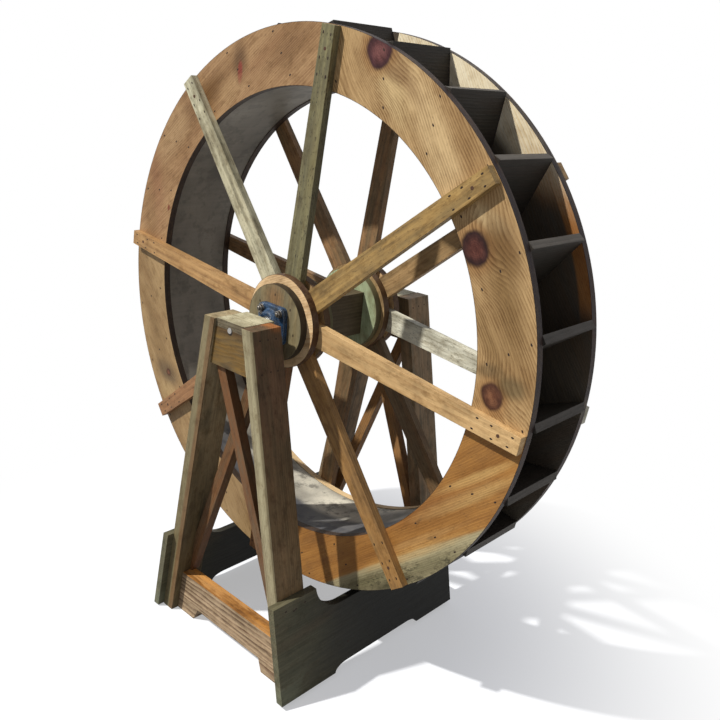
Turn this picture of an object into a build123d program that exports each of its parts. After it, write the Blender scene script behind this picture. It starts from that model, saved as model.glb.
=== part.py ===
from build123d import *
import os
from math import atan, cos, radians, sin, sqrt

os.makedirs("parts", exist_ok=True)

# Driving dimensions, in millimetres and degrees.
# X runs to the right across the front, Y to the rear along the shaft, Z up from the floor.

# Rings and spokes. Angles run counter-clockwise from +X, seen from the front.
wheel_radius = 700
ground_clearance = 177
wheel_width = 235
ring_width = 140
ring_board = 19
ring_joint_angle = -7.55
spoke_count = 8
spoke_thickness = 20
spoke_hub_width = 57
spoke_tip_width = 40
spoke_inner_radius = 80
spoke_tip_gap = 2

# Hub discs, in the order they are stacked from the outside, and the timber between them.
hub_board = 20
hub_inner_board = 19
outer_small_disc_radius = 96
outer_large_disc_radius = 117
inner_large_disc_radius = 117
inner_small_disc_radius = 106
hub_timber_side = 112
hub_timber_angle = -1.5
hub_hole_gap = 6.5

# Shaft and four-bolt flange bearings.
shaft_radius = 9.5
bearing_running_gap = 0.05
bearing_side = 94
bearing_corner = 14
bearing_angle = -1.2
bearing_flange = 13
bearing_boss_radius = 33
bearing_boss_height = 14
bearing_boss_taper = 8
bearing_collar_wall = 6.5
bearing_collar_height = 9

# Slanted bucket boards and the sheet drum that they stand on.
bucket_count = 24
bucket_board = 19
bucket_mid_angle = 7.14
bucket_tilt = 27.9
bucket_lip = 3
sole_setback = 2
sole_sheet = 1.2

# Trestles and their timbers. The clearances are along the shaft, from the bearing collars.
block_clearance = {"front": 22, "rear": 13.5}
cap_clearance = {"front": 9, "rear": 5.5}
leg_thickness = 38
leg_depth = 86
leg_lean = 0.192
leg_gap_at_axle = 109
leg_rise = 22
block_setback = 7
block_drop = 95
block_rise = 3
cap_board = 20
brace_width = 30
brace_depth = 25
brace_setback = 19.7
brace_top_inset = 21.7
brace_foot_overrun = 7.8
beam_height = 124
beam_thickness = 38
beam_setback = 21
beam_notch_height = 36
beam_notch_left = (149, 130)
beam_notch_right = (140, 128)

# Base boards on the outer faces of the legs.
base_board = 20
base_overhang = {"left": 19, "right": 30}
base_lift = {"left": 3, "right": 12}
scoop_half = 211
scoop_run = 80
scoop_drop = 67
scoop_clearance = {"left": 33.4, "right": 24.4}
arch_half = 162
arch_offset = {"left": 12, "right": -7}
arch_run = 42
arch_rise = 17

axle_height = wheel_radius + ground_clearance
floor = -axle_height

# Derived distances from the wheel's middle plane.
ring_outer = wheel_width / 2
ring_inner = ring_outer - ring_board
spoke_outer = ring_outer + spoke_thickness
large_disc_outer = spoke_outer + hub_board
small_disc_outer = large_disc_outer + hub_board
inner_large_inner = ring_outer - hub_inner_board
inner_small_inner = inner_large_inner - hub_inner_board
hub_hole_radius = shaft_radius + hub_hole_gap
bearing_depth = bearing_flange + bearing_boss_height + bearing_collar_height
bearing_end = small_disc_outer + bearing_depth
reach = {side_name: bearing_end + gap + leg_depth for side_name, gap in block_clearance.items()}

# The origin stands under the middle of the longest base board.
mid_y = (reach["front"] + max(base_overhang.values()) - reach["rear"]) / 2
lean_stretch = 1 / cos(atan(leg_lean))

sides = {"front": -1, "rear": 1}
hands = {"left": -1, "right": 1}
quarters = ["upper_right", "upper_left", "lower_left", "lower_right"]


def upright(y):
    """Plane that faces the front at distance y, centred on the shaft, with its y axis up."""
    return Plane(origin=(0, y, axle_height), x_dir=(1, 0, 0), z_dir=(0, -1, 0))


def slab(side, near, far):
    """Upright plane from which a slab between two distances from the middle plane is extruded."""
    return upright(mid_y + max(side * near, side * far))


def leg_inner(z):
    return leg_gap_at_axle / 2 - leg_lean * z


def leg_outer(z):
    return leg_inner(z) + leg_thickness * lean_stretch


def on_circle(radius, angle):
    return (radius * cos(radians(angle)), radius * sin(radians(angle)))


# Two rings, each of four quarter boards butted end to end.
for side_name, side in sides.items():
    for index, quarter in enumerate(quarters):
        start = ring_joint_angle + 90 * index
        with BuildPart() as ring_quarter:
            with BuildSketch(slab(side, ring_inner, ring_outer)):
                Circle(wheel_radius)
                Circle(wheel_radius - ring_width, mode=Mode.SUBTRACT)
                Polygon(
                    (0, 0),
                    on_circle(2 * wheel_radius, start),
                    on_circle(3 * wheel_radius, start + 45),
                    on_circle(2 * wheel_radius, start + 90),
                    align=None,
                    mode=Mode.INTERSECT,
                )
            extrude(amount=ring_board)
        ring_quarter.part.label = f"{side_name}_ring_{quarter}"
        export_step(ring_quarter.part, f"parts/{side_name}_ring_{quarter}.step")

# Eight tapered spokes on the outer face of each ring, in two sets of four.
spoke_outer_radius = wheel_radius - spoke_tip_gap
for side_name, side in sides.items():
    for set_name, offset in {"square": 0, "diagonal": 360 / spoke_count}.items():
        with BuildPart() as spokes:
            with BuildSketch(slab(side, ring_outer, spoke_outer)):
                with PolarLocations(0, spoke_count // 2, start_angle=ring_joint_angle + offset):
                    Polygon(
                        (spoke_inner_radius, -spoke_hub_width / 2),
                        (spoke_outer_radius, -spoke_tip_width / 2),
                        (spoke_outer_radius, spoke_tip_width / 2),
                        (spoke_inner_radius, spoke_hub_width / 2),
                        align=None,
                    )
            extrude(amount=spoke_thickness)
        spokes.part.label = f"{side_name}_spokes_{set_name}"
        export_step(spokes.part, f"parts/{side_name}_spokes_{set_name}.step")

# Hub discs, two outside the spokes and two inside them on each side.
discs = {
    "outer_small": (outer_small_disc_radius, large_disc_outer, small_disc_outer),
    "outer_large": (outer_large_disc_radius, spoke_outer, large_disc_outer),
    "inner_large": (inner_large_disc_radius, inner_large_inner, ring_outer),
    "inner_small": (inner_small_disc_radius, inner_small_inner, inner_large_inner),
}
for side_name, side in sides.items():
    for disc_name, (radius, near, far) in discs.items():
        with BuildPart() as disc:
            with BuildSketch(slab(side, near, far)):
                Circle(radius)
                Circle(hub_hole_radius, mode=Mode.SUBTRACT)
            extrude(amount=far - near)
        disc.part.label = f"{side_name}_disc_{disc_name}"
        export_step(disc.part, f"parts/{side_name}_disc_{disc_name}.step")

# Square timber between the innermost discs.
with BuildPart() as hub_timber:
    with BuildSketch(upright(mid_y + inner_small_inner)):
        Rectangle(hub_timber_side, hub_timber_side, rotation=hub_timber_angle)
        Circle(hub_hole_radius, mode=Mode.SUBTRACT)
    extrude(amount=2 * inner_small_inner)
hub_timber.part.label = "hub_timber"
export_step(hub_timber.part, "parts/hub_timber.step")

# Flange bearings on the outer faces of the hub, bored to run on the shaft.
for side_name, side in sides.items():
    outward = Plane(
        origin=(0, mid_y + side * small_disc_outer, axle_height),
        x_dir=(-side, 0, 0),
        z_dir=(0, side, 0),
    )
    boss_top = bearing_flange + bearing_boss_height
    bearing_bore = shaft_radius + bearing_running_gap
    with BuildPart() as bearing:
        with BuildSketch(outward):
            RectangleRounded(bearing_side, bearing_side, bearing_corner, rotation=-side * bearing_angle)
        extrude(amount=bearing_flange)
        with BuildSketch(outward.offset(bearing_flange)):
            Circle(bearing_boss_radius)
        extrude(amount=bearing_boss_height, taper=bearing_boss_taper)
        with BuildSketch(outward.offset(boss_top)):
            Circle(bearing_bore + bearing_collar_wall)
        extrude(amount=bearing_collar_height)
        with BuildSketch(outward):
            Circle(bearing_bore)
        extrude(amount=bearing_depth, mode=Mode.SUBTRACT)
    bearing.part.label = f"{side_name}_bearing"
    export_step(bearing.part, f"parts/{side_name}_bearing.step")

# Slanted bucket boards between the rings, bevelled to stand on the sheet sole.
sole_radius = wheel_radius - ring_width + sole_setback
sole_outer = sole_radius + sole_sheet
bucket_mid_radius = (wheel_radius + sole_outer) / 2
bucket_half_run = (wheel_radius - sole_outer) / 2 / cos(radians(bucket_tilt))
bucket_out = bucket_half_run + bucket_lip
bucket_in = bucket_half_run + bucket_board
buckets_per_quarter = bucket_count // len(quarters)
for index, quarter in enumerate(quarters):
    with BuildPart() as buckets:
        with BuildSketch(upright(mid_y + ring_inner)):
            for step in range(buckets_per_quarter):
                angle = bucket_mid_angle + (index * buckets_per_quarter + step) * 360 / bucket_count
                board_middle = (*on_circle(bucket_mid_radius, angle), 0)
                with Locations(Location(board_middle, (0, 0, angle + bucket_tilt))):
                    with Locations(((bucket_out - bucket_in) / 2, 0)):
                        Rectangle(bucket_out + bucket_in, bucket_board)
            Circle(sole_outer, mode=Mode.SUBTRACT)
        extrude(amount=2 * ring_inner)
    buckets.part.label = f"buckets_{quarter}"
    export_step(buckets.part, f"parts/buckets_{quarter}.step")

with BuildPart() as sole:
    with BuildSketch(upright(mid_y + ring_inner)):
        Circle(sole_outer)
        Circle(sole_radius, mode=Mode.SUBTRACT)
    extrude(amount=2 * ring_inner)
sole.part.label = "sole"
export_step(sole.part, "parts/sole.step")

# Fixed shaft through both bearings, its ends flush with the axle blocks.
shaft_front = mid_y - reach["front"] + block_setback
shaft_rear = mid_y + reach["rear"] - block_setback
with BuildPart() as shaft:
    with BuildSketch(upright(shaft_rear)):
        Circle(shaft_radius)
    extrude(amount=shaft_rear - shaft_front)
shaft.part.label = "shaft"
export_step(shaft.part, "parts/shaft.step")

# Leaning legs, cut level at the top and on the floor.
for side_name, side in sides.items():
    for hand_name, hand in hands.items():
        with BuildPart() as leg:
            with BuildSketch(slab(side, reach[side_name] - leg_depth, reach[side_name])):
                Polygon(
                    (hand * leg_inner(leg_rise), leg_rise),
                    (hand * leg_outer(leg_rise), leg_rise),
                    (hand * leg_outer(floor), floor),
                    (hand * leg_inner(floor), floor),
                    align=None,
                )
            extrude(amount=leg_depth)
        leg.part.label = f"{side_name}_leg_{hand_name}"
        export_step(leg.part, f"parts/{side_name}_leg_{hand_name}.step")


def between_legs(low, high, mode=Mode.ADD):
    """Profile that fills the gap between the legs from one height to another."""
    Polygon(
        (-leg_inner(low), low),
        (leg_inner(low), low),
        (leg_inner(high), high),
        (-leg_inner(high), high),
        align=None,
        mode=mode,
    )


# Axle block, grooved from above for the shaft, and the cap board over it.
for side_name, side in sides.items():
    block_outer = reach[side_name] - block_setback
    block_inner = bearing_end + block_clearance[side_name]
    with BuildPart() as block:
        with BuildSketch(slab(side, block_inner, block_outer)):
            between_legs(-block_drop, block_rise)
            Circle(shaft_radius, mode=Mode.SUBTRACT)
            with Locations((0, block_rise)):
                Rectangle(2 * shaft_radius, 2 * block_rise, mode=Mode.SUBTRACT)
        extrude(amount=block_outer - block_inner)
    block.part.label = f"{side_name}_axle_block"
    export_step(block.part, f"parts/{side_name}_axle_block.step")

    cap_inner = bearing_end + cap_clearance[side_name]
    with BuildPart() as cap:
        with BuildSketch(slab(side, cap_inner, block_outer)):
            between_legs(block_rise, block_rise + cap_board)
            Circle(shaft_radius, mode=Mode.SUBTRACT)
        extrude(amount=block_outer - cap_inner)
    cap.part.label = f"{side_name}_cap_board"
    export_step(cap.part, f"parts/{side_name}_cap_board.step")

# Two crossed strips in each trestle, from the block down to the beam.
# In both trestles the one nearer the front runs down to the right.
beam_top = floor + beam_height
brace_top = brace_top_inset - leg_inner(-block_drop)
brace_foot = leg_inner(beam_top) + brace_foot_overrun
brace_slope = (brace_foot - brace_top) / (-block_drop - beam_top)
brace_half = brace_width / 2 / cos(atan(brace_slope))
for side_name, side in sides.items():
    brace_outer = reach[side_name] - brace_setback
    brace_inner = brace_outer - brace_depth
    layers = {
        "down_right": (1, brace_outer if side_name == "front" else brace_inner),
        "down_left": (-1, brace_inner if side_name == "front" else brace_outer),
    }
    for layer_name, (hand, far) in layers.items():
        with BuildPart() as brace:
            with BuildSketch(slab(side, far - brace_depth, far)):
                Polygon(
                    (hand * (brace_top - brace_half), -block_drop),
                    (hand * (brace_top + brace_half), -block_drop),
                    (hand * (brace_foot + brace_half), beam_top),
                    (hand * (brace_foot - brace_half), beam_top),
                    align=None,
                )
                between_legs(beam_top, -block_drop, mode=Mode.INTERSECT)
            extrude(amount=brace_depth)
        brace.part.label = f"{side_name}_brace_{layer_name}"
        export_step(brace.part, f"parts/{side_name}_brace_{layer_name}.step")

# Cross beams at the feet, notched underneath.
for side_name, side in sides.items():
    beam_outer = reach[side_name] - beam_setback
    with BuildPart() as cross_beam:
        with BuildSketch(slab(side, beam_outer - beam_thickness, beam_outer)):
            between_legs(floor, beam_top)
            Polygon(
                (-beam_notch_left[0], floor),
                (-beam_notch_left[1], floor + beam_notch_height),
                (beam_notch_right[1], floor + beam_notch_height),
                (beam_notch_right[0], floor),
                align=None,
                mode=Mode.SUBTRACT,
            )
        extrude(amount=beam_thickness)
    cross_beam.part.label = f"{side_name}_cross_beam"
    export_step(cross_beam.part, f"parts/{side_name}_cross_beam.step")


def hollow(middle, edge, half, run, depth):
    """Cut a long hollow with elliptical ends from an edge of the sketch."""
    flat_half = half - run
    with Locations((middle - flat_half, edge), (middle + flat_half, edge)):
        Ellipse(run, depth, mode=Mode.SUBTRACT)
    with Locations((middle, edge)):
        Rectangle(2 * flat_half, 2 * depth, mode=Mode.SUBTRACT)


# Base boards on the outer faces of the legs, scooped on top to clear the wheel and arched underneath.
base_skin = base_board * lean_stretch
base_rear = mid_y + reach["rear"]
wheel_bottom = -sqrt(wheel_radius**2 - leg_inner(floor) ** 2)
for hand_name, hand in hands.items():
    base_front = mid_y - reach["front"] - base_overhang[hand_name]
    base_length = base_rear - base_front
    low = floor + base_lift[hand_name]
    high = wheel_bottom - scoop_clearance[hand_name] + scoop_drop
    with BuildPart() as base:
        with BuildSketch(upright(base_rear)):
            Polygon(
                (hand * leg_outer(high), high),
                (hand * (leg_outer(high) + base_skin), high),
                (hand * (leg_outer(low) + base_skin), low),
                (hand * leg_outer(low), low),
                align=None,
            )
        extrude(amount=base_length)
        with BuildSketch(Plane.YZ):
            with Locations(((base_front + base_rear) / 2, axle_height + (low + high) / 2)):
                Rectangle(base_length, high - low)
            hollow(mid_y, axle_height + high, scoop_half, scoop_run, scoop_drop)
            hollow(mid_y + arch_offset[hand_name], axle_height + low, arch_half, arch_run, arch_rise)
        extrude(amount=axle_height, both=True, mode=Mode.INTERSECT)
    base.part.label = f"base_board_{hand_name}"
    export_step(base.part, f"parts/base_board_{hand_name}.step")
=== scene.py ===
import math

import bmesh
import bpy
from mathutils import Matrix, Vector


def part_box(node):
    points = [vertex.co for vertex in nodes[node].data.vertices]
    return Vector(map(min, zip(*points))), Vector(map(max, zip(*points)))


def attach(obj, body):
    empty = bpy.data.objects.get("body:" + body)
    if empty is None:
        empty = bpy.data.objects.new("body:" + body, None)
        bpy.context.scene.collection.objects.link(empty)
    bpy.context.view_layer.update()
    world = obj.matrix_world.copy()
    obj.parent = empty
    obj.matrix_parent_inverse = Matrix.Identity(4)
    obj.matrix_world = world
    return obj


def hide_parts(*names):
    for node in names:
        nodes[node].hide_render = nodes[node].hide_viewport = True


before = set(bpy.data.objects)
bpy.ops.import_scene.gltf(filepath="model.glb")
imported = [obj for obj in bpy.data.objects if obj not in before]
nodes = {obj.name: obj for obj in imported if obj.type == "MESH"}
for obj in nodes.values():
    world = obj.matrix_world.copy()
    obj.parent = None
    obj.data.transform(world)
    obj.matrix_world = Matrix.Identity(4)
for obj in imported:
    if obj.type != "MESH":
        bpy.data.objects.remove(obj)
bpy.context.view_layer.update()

# Places on the model, in metres and degrees.
shaft_low, shaft_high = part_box("shaft")
timber_low, timber_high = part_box("hub_timber")
AXLE = Vector((
    (shaft_low.x + shaft_high.x) / 2,
    (timber_low.y + timber_high.y) / 2,
    (shaft_low.z + shaft_high.z) / 2,
))
HALF_WHEEL = AXLE.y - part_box("front_ring_upper_right")[0].y
RIM = 0.7
RING_WIDTH = 0.14
RING_BOARD = 0.019
RING_MIDDLE = 0.63
SPOKE_DEPTH = 0.02
SPOKE_COUNT = 8
SPOKE_START = -7.55
BUCKET_COUNT = 24
BUCKET_START = 7.14
BUCKET_TILT = 27.9
BUCKET_MIDDLE = 0.6316
BUCKET_END = 0.0805
LEG_WIDTH = 0.038
LEG_DEPTH = 0.086
LEG_LEAN = 0.192
BLOCK_END = 0.0545
BRACE_SLOPE = 0.392
BASE_BOARD = 0.02
SIDES = {"front": -1, "rear": 1}
HANDS = {"left": -1, "right": 1}


def rgb(red, green, blue):
    """Linear colour from the 0-255 values that a screen shows."""
    shares = [value / 255 for value in (red, green, blue)]
    linear = [s / 12.92 if s <= 0.04045 else ((s + 0.055) / 1.055) ** 2.4 for s in shares]
    return (*linear, 1.0)


def polar(radius, angle, y=0.0):
    """Point at a radius and angle about the axle, y metres in front of or behind the middle plane."""
    turn = math.radians(angle)
    return AXLE + Vector((radius * math.cos(turn), y, radius * math.sin(turn)))


def direction(angle):
    """Unit vector at an angle in the wheel's plane."""
    turn = math.radians(angle)
    return Vector((math.cos(turn), 0, math.sin(turn)))


class Nodes:
    """Short calls that build a node tree."""

    def __init__(self, node_tree):
        self.nodes = node_tree.nodes
        self.links = node_tree.links
        self.nodes.clear()

    def add(self, kind, values=None, **settings):
        node = self.nodes.new(kind)
        for key, value in settings.items():
            setattr(node, key, value)
        for key, value in (values or {}).items():
            self.feed(node.inputs[key], value)
        return node

    def feed(self, socket, value):
        if isinstance(value, bpy.types.NodeSocket):
            self.links.new(value, socket)
        else:
            socket.default_value = value

    def math(self, operation, a, b=0.0, c=0.0):
        return self.add("ShaderNodeMath", {0: a, 1: b, 2: c}, operation=operation).outputs[0]

    def times(self, a, b):
        return self.math("MULTIPLY", a, b)

    def scale(self, value, factor, shift):
        """The value times a factor, plus a shift."""
        return self.math("MULTIPLY_ADD", value, factor, shift)

    def vector(self, operation, a, b=(0.0, 0.0, 0.0)):
        return self.add("ShaderNodeVectorMath", {0: a, 1: b}, operation=operation).outputs[0]

    def length(self, a):
        return self.add("ShaderNodeVectorMath", {0: a}, operation="LENGTH").outputs["Value"]

    def rotate(self, vector, axis, angle):
        values = {"Vector": vector, "Axis": axis, "Angle": angle}
        return self.add("ShaderNodeVectorRotate", values, rotation_type="AXIS_ANGLE").outputs[0]

    def smooth(self, value, start, end):
        """0 at start and 1 at end, eased. Start may be the larger one."""
        low, high = min(start, end), max(start, end)
        flip = (1.0, 0.0) if start > end else (0.0, 1.0)
        values = {"Value": value, "From Min": low, "From Max": high, "To Min": flip[0], "To Max": flip[1]}
        return self.add("ShaderNodeMapRange", values, interpolation_type="SMOOTHSTEP").outputs[0]

    def noise(self, vector, scale, detail=3.0, roughness=0.5):
        values = {"Vector": vector, "Scale": scale, "Detail": detail, "Roughness": roughness}
        return self.add("ShaderNodeTexNoise", values).outputs[0]

    def mix(self, factor, a, b, blend="MIX"):
        node = self.add("ShaderNodeMix", {0: factor, 6: a, 7: b}, data_type="RGBA", blend_type=blend)
        return node.outputs[2]

    def tinted(self, a, b):
        """One colour multiplied by another."""
        return self.mix(1.0, a, b, "MULTIPLY")

    def steps(self, factor, colours):
        """One flat colour for each equal share of 0 to 1."""
        node = self.add("ShaderNodeValToRGB", {0: factor})
        ramp = node.color_ramp
        ramp.interpolation = "CONSTANT"
        while len(ramp.elements) < len(colours):
            ramp.elements.new(1.0)
        for index, colour in enumerate(colours):
            ramp.elements[index].position = index / len(colours)
            ramp.elements[index].color = colour
        return node.outputs[0]

    def split(self, vector):
        return self.add("ShaderNodeSeparateXYZ", {0: vector}).outputs

    def join(self, x, y, z):
        return self.add("ShaderNodeCombineXYZ", {0: x, 1: y, 2: z}).outputs[0]

    def seen(self):
        """1 for rays of the camera, gloss and glass, and 0 for rays that only carry light."""
        rays = self.add("ShaderNodeLightPath").outputs
        shine = self.math("MAXIMUM", rays["Is Glossy Ray"], rays["Is Transmission Ray"])
        return self.math("MAXIMUM", rays["Is Camera Ray"], shine)


class Tree(Nodes):
    """A new material and its nodes."""

    def __init__(self, name):
        self.material = bpy.data.materials.new(name)
        self.material.use_nodes = True
        super().__init__(self.material.node_tree)
        self.place = self.add("ShaderNodeTexCoord").outputs["Object"]

    def centred(self):
        """Place on the object, from the middle of the axle."""
        return self.vector("SUBTRACT", self.place, AXLE)

    def flat(self):
        """The same in the wheel's plane alone."""
        return self.vector("MULTIPLY", self.centred(), (1.0, 0.0, 1.0))

    def shader(self, **values):
        named = {key.replace("_", " "): value for key, value in values.items()}
        shader = self.add("ShaderNodeBsdfPrincipled", named)
        self.add("ShaderNodeOutputMaterial", {"Surface": shader.outputs[0]})
        return self.material

    def bump(self, height, strength, distance, normal=None):
        values = {"Height": height, "Strength": strength, "Distance": distance}
        if normal is not None:
            values["Normal"] = normal
        return self.add("ShaderNodeBump", values).outputs[0]


# Board frames: x along the grain, y across the board's face, z through its thickness.
class Board:
    """A board's own frame, fixed in the object."""

    def __init__(self, origin, grain, across):
        along = Vector(grain).normalized()
        through = along.cross(Vector(across)).normalized()
        self.turn = Matrix((along, through.cross(along), through)).transposed()
        self.origin = Vector(origin)

    def place(self, tree):
        values = {
            "Vector": tree.place,
            "Location": self.origin,
            "Rotation": self.turn.to_euler(),
            "Scale": (1.0, 1.0, 1.0),
        }
        return tree.add("ShaderNodeMapping", values, vector_type="TEXTURE").outputs[0]

    def local(self, point):
        return self.turn.transposed() @ (Vector(point) - self.origin)


class Around:
    """The frame of each of several like boards set round the axle."""

    def __init__(self, count, start, swap):
        self.count = count
        self.start = math.radians(start)
        self.swap = swap

    def place(self, tree):
        centred = tree.centred()
        x, _, z = tree.split(centred)
        sector = math.tau / self.count
        turned = tree.math("DIVIDE", tree.math("SUBTRACT", tree.math("ARCTAN2", z, x), self.start), sector)
        self.index = tree.math("FLOORED_MODULO", tree.math("ROUND", turned), float(self.count))
        angle = tree.scale(self.index, sector, self.start)
        x, y, z = self.swap(tree, *tree.split(tree.rotate(centred, (0.0, 1.0, 0.0), angle)))
        seed = tree.times(self.index, 1.37)
        return tree.join(tree.math("ADD", x, seed), y, z)


def spoke_axes(tree, x, y, z):
    """Grain along the spoke, then across it, then through it."""
    return x, z, y


def bucket_axes(tree, x, y, z):
    """Grain along the shaft, then down the board's slope, then through it."""
    x = tree.math("SUBTRACT", x, BUCKET_MIDDLE)
    tilt = math.radians(BUCKET_TILT)
    run = tree.math("ADD", tree.times(x, math.cos(tilt)), tree.times(z, math.sin(tilt)))
    rise = tree.math("SUBTRACT", tree.times(z, math.cos(tilt)), tree.times(x, math.sin(tilt)))
    return y, run, rise


# Noise fields of a board: scale along the grain, scale across it, detail, roughness.
FIELDS = {
    "sway": (1.6, 5.0, 2.0, 0.55),
    "ripple": (5.0, 34.0, 2.0, 0.55),
    "fibre": (14.0, 460.0, 3.0, 0.6),
    "streak": (2.5, 75.0, 3.0, 0.55),
    "cloud": (3.5, 10.0, 3.0, 0.55),
    "blotch": (11.0, 19.0, 4.0, 0.65),
    "smudge": (26.0, 52.0, 5.0, 0.68),
    "fleck": (95.0, 330.0, 2.0, 0.55),
    "spores": (52.0, 95.0, 5.0, 0.72),
}
CLOUDED = (0.6, 0.53, 0.45, 1.0)
SOILED = (0.5, 0.44, 0.35, 1.0)
KNOT_HALO = (0.66, 0.48, 0.33, 1.0)
KNOT_CRACKS = (0.45, 0.36, 0.36, 1.0)
SPECK = (0.02, 0.016, 0.011, 1.0)
MOULD = rgb(58, 54, 37)
MOULD_FADE = 0.03
FACE_SKIN = 0.0008
RIM_SKIN = 0.0006
# Heights over the axle between which an edge takes its low colour; low on the rear ring's inner edges that
# colour is painted light, where the edge faces up.
RIM_LOW = (-0.38, -0.47)
# Where the painted shade on a face gives way to painted sunlight: heights over the axle and radii between
# which that begins.
SUNLIT_INSIDE = ((0.33, 0.41), (0.61, 0.65))
SUNLIT_OUTSIDE = ((0.1, 0.18), (0.668, 0.676))
EDGE_ROUNDING = 0.0014


class Wood(Tree):
    """Sawn softwood. Its colour starts as plain grain, and each call lays one thing more over it."""

    def __init__(self, name, board, seed):
        super().__init__(name)
        self.where = board.place(self)
        self.moved = self.vector("ADD", self.where, (seed, seed * 0.7, seed * 0.3))
        self.x, self.y, self.z = self.split(self.where)
        self.fibre = self.field("fibre")
        self.streak = self.field("streak")
        self.cloud = self.field("cloud")
        self.blotch = self.field("blotch")
        self.smudge = self.field("smudge")
        self.ragged = self.math("MULTIPLY_ADD", self.smudge, 0.65, self.times(self.blotch, 0.35))

    def field(self, kind):
        """One of the board's noise fields."""
        along, across, detail, roughness = FIELDS[kind]
        stretched = self.vector("MULTIPLY", self.moved, (along, across, across))
        return self.noise(stretched, 1.0, detail, roughness)

    def grow(self, spacing, heart, wave, knots):
        """Growth rings about the heart line, which swell round each knot."""
        sway = self.field("sway")
        across = self.math("ADD", self.y, self.scale(sway, wave, -heart[0] - wave / 2))
        deep = self.math("ADD", self.z, self.scale(sway, wave * 0.6, -heart[1]))
        out = self.length(self.join(0.0, across, deep))
        out = self.math("MULTIPLY_ADD", self.field("ripple"), spacing * 1.6, out)
        self.knots = []
        for centre_x, centre_y, size, core, edge in knots:
            offset = self.vector("SUBTRACT", self.where, (centre_x, centre_y, 0.0))
            reach = self.length(self.vector("MULTIPLY", offset, (0.9, 1.0, 0.0)))
            out = self.math("MULTIPLY_ADD", self.smooth(reach, size * 3.8, size * 0.7), size * 1.1, out)
            ragged = self.math("MULTIPLY_ADD", self.noise(self.moved, 30.0, 2.0), size * 0.4, reach)
            self.knots.append((self.math("SUBTRACT", ragged, size * 0.2), size, core, edge))
        phase = self.math("FRACT", self.math("DIVIDE", out, spacing))
        self.late = self.times(self.smooth(phase, 0.15, 0.85), self.smooth(phase, 1.0, 0.9))

    def colour_grain(self, light, dark, contrast):
        """The first colour: late wood, fibres and streaks between a light and a dark tone."""
        uneven = self.math("MAXIMUM", self.scale(self.blotch, 3.4, -1.0), 0.1)
        grain = self.times(self.late, self.times(uneven, contrast))
        grain = self.math("ADD", grain, self.scale(self.fibre, 0.7, -0.32))
        self.grain = self.math("ADD", grain, self.scale(self.streak, 0.9, -0.32))
        self.dark = dark
        self.colour = self.mix(self.grain, light, dark)

    def lay(self, amount, colour):
        """Lay a colour over what is there so far."""
        self.colour = self.mix(amount, self.colour, colour)

    def lined(self, share, colour):
        """A colour with a share of the board's grain in it."""
        return self.mix(self.times(self.grain, share), colour, self.tinted(colour, self.dark))

    def weather(self, colour, amount):
        """Grey the board along its grain."""
        weathered = self.math("ADD", self.times(self.streak, 0.8), self.scale(self.blotch, 0.8, -0.6))
        self.lay(self.times(self.smooth(weathered, 0.0, 0.4), amount), colour)

    def patch(self, centre_x, centre_y, size_x, size_y, turn, soft, colour, amount):
        """Lay an oval patch with a ragged edge on the board."""
        offset = self.vector("SUBTRACT", self.where, (centre_x, centre_y, 0.0))
        if turn:
            offset = self.rotate(offset, (0.0, 0.0, 1.0), math.radians(-turn))
        reach = self.length(self.vector("MULTIPLY", offset, (1.0 / size_x, 1.0 / size_y, 0.0)))
        reach = self.math("ADD", reach, self.scale(self.ragged, soft * 1.8, -soft * 0.9))
        mask = self.times(self.smooth(reach, 1.0 + soft, 1.0 - soft), amount)
        self.lay(mask, self.lined(0.7, colour))

    def face(self, axis, edge, colour, amount, streaky, spare_sunlit=False):
        """Give the skin of one face its own colour; if asked, leave out the parts kept as painted sunlight.
        """
        inward = -FACE_SKIN if edge > 0 else FACE_SKIN
        along = {"x": self.x, "y": self.y, "z": self.z}[axis]
        mask = self.smooth(along, edge + inward * 2, edge + inward)
        if spare_sunlit:
            radius, height = self.length(self.flat()), self.split(self.centred())[2]
            inside, outside = (
                self.times(self.smooth(height, *heights), self.smooth(radius, *radii))
                for heights, radii in (SUNLIT_INSIDE, SUNLIT_OUTSIDE)
            )
            mask = self.times(mask, self.math("SUBTRACT", 1.0, self.math("MAXIMUM", inside, outside)))
        streaks = self.scale(self.streak, 1.4 * streaky, -0.5 * streaky)
        self.lay(self.times(mask, amount), self.mix(streaks, self.lined(0.6, colour), self.colour))

    def strip(self, face, start, end, colour, amount):
        """Lay a strip with a wavering side along the board's front face."""
        mask = self.times(self.smooth(self.y, face + FACE_SKIN * 2, face + FACE_SKIN), amount)
        wavering = self.math("ADD", self.z, self.scale(self.cloud, 0.012, -0.006))
        self.lay(self.times(mask, self.smooth(wavering, start, end)), self.lined(1.0, colour))

    def mould(self, start):
        """Dark spots in groups, from a line along the board down to its lower side."""
        spots = self.smooth(self.field("spores"), 0.47, 0.6)
        spots = self.times(spots, self.smooth(self.blotch, 0.36, 0.56))
        spots = self.times(spots, self.smooth(self.y, start, start - MOULD_FADE))
        self.lay(self.times(spots, 0.8), MOULD)

    def knot(self, reach, size, core, edge):
        """A ringed knot with cracks in it and a dark halo round it."""
        self.lay(self.times(self.smooth(reach, size * 1.9, size), 0.55), self.tinted(self.colour, KNOT_HALO))
        circles = self.math("FRACT", self.math("DIVIDE", reach, size * 0.15))
        circles = self.times(self.smooth(circles, 0.2, 0.8), self.smooth(circles, 1.0, 0.8))
        tone = self.mix(self.smooth(reach, size * 0.2, size * 1.0), core, edge)
        tone = self.mix(self.times(circles, 0.3), tone, edge)
        tone = self.mix(self.smooth(self.smudge, 0.35, 0.65), tone, self.tinted(tone, KNOT_CRACKS))
        self.lay(self.smooth(reach, size * 1.2, size * 0.86), tone)

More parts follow.
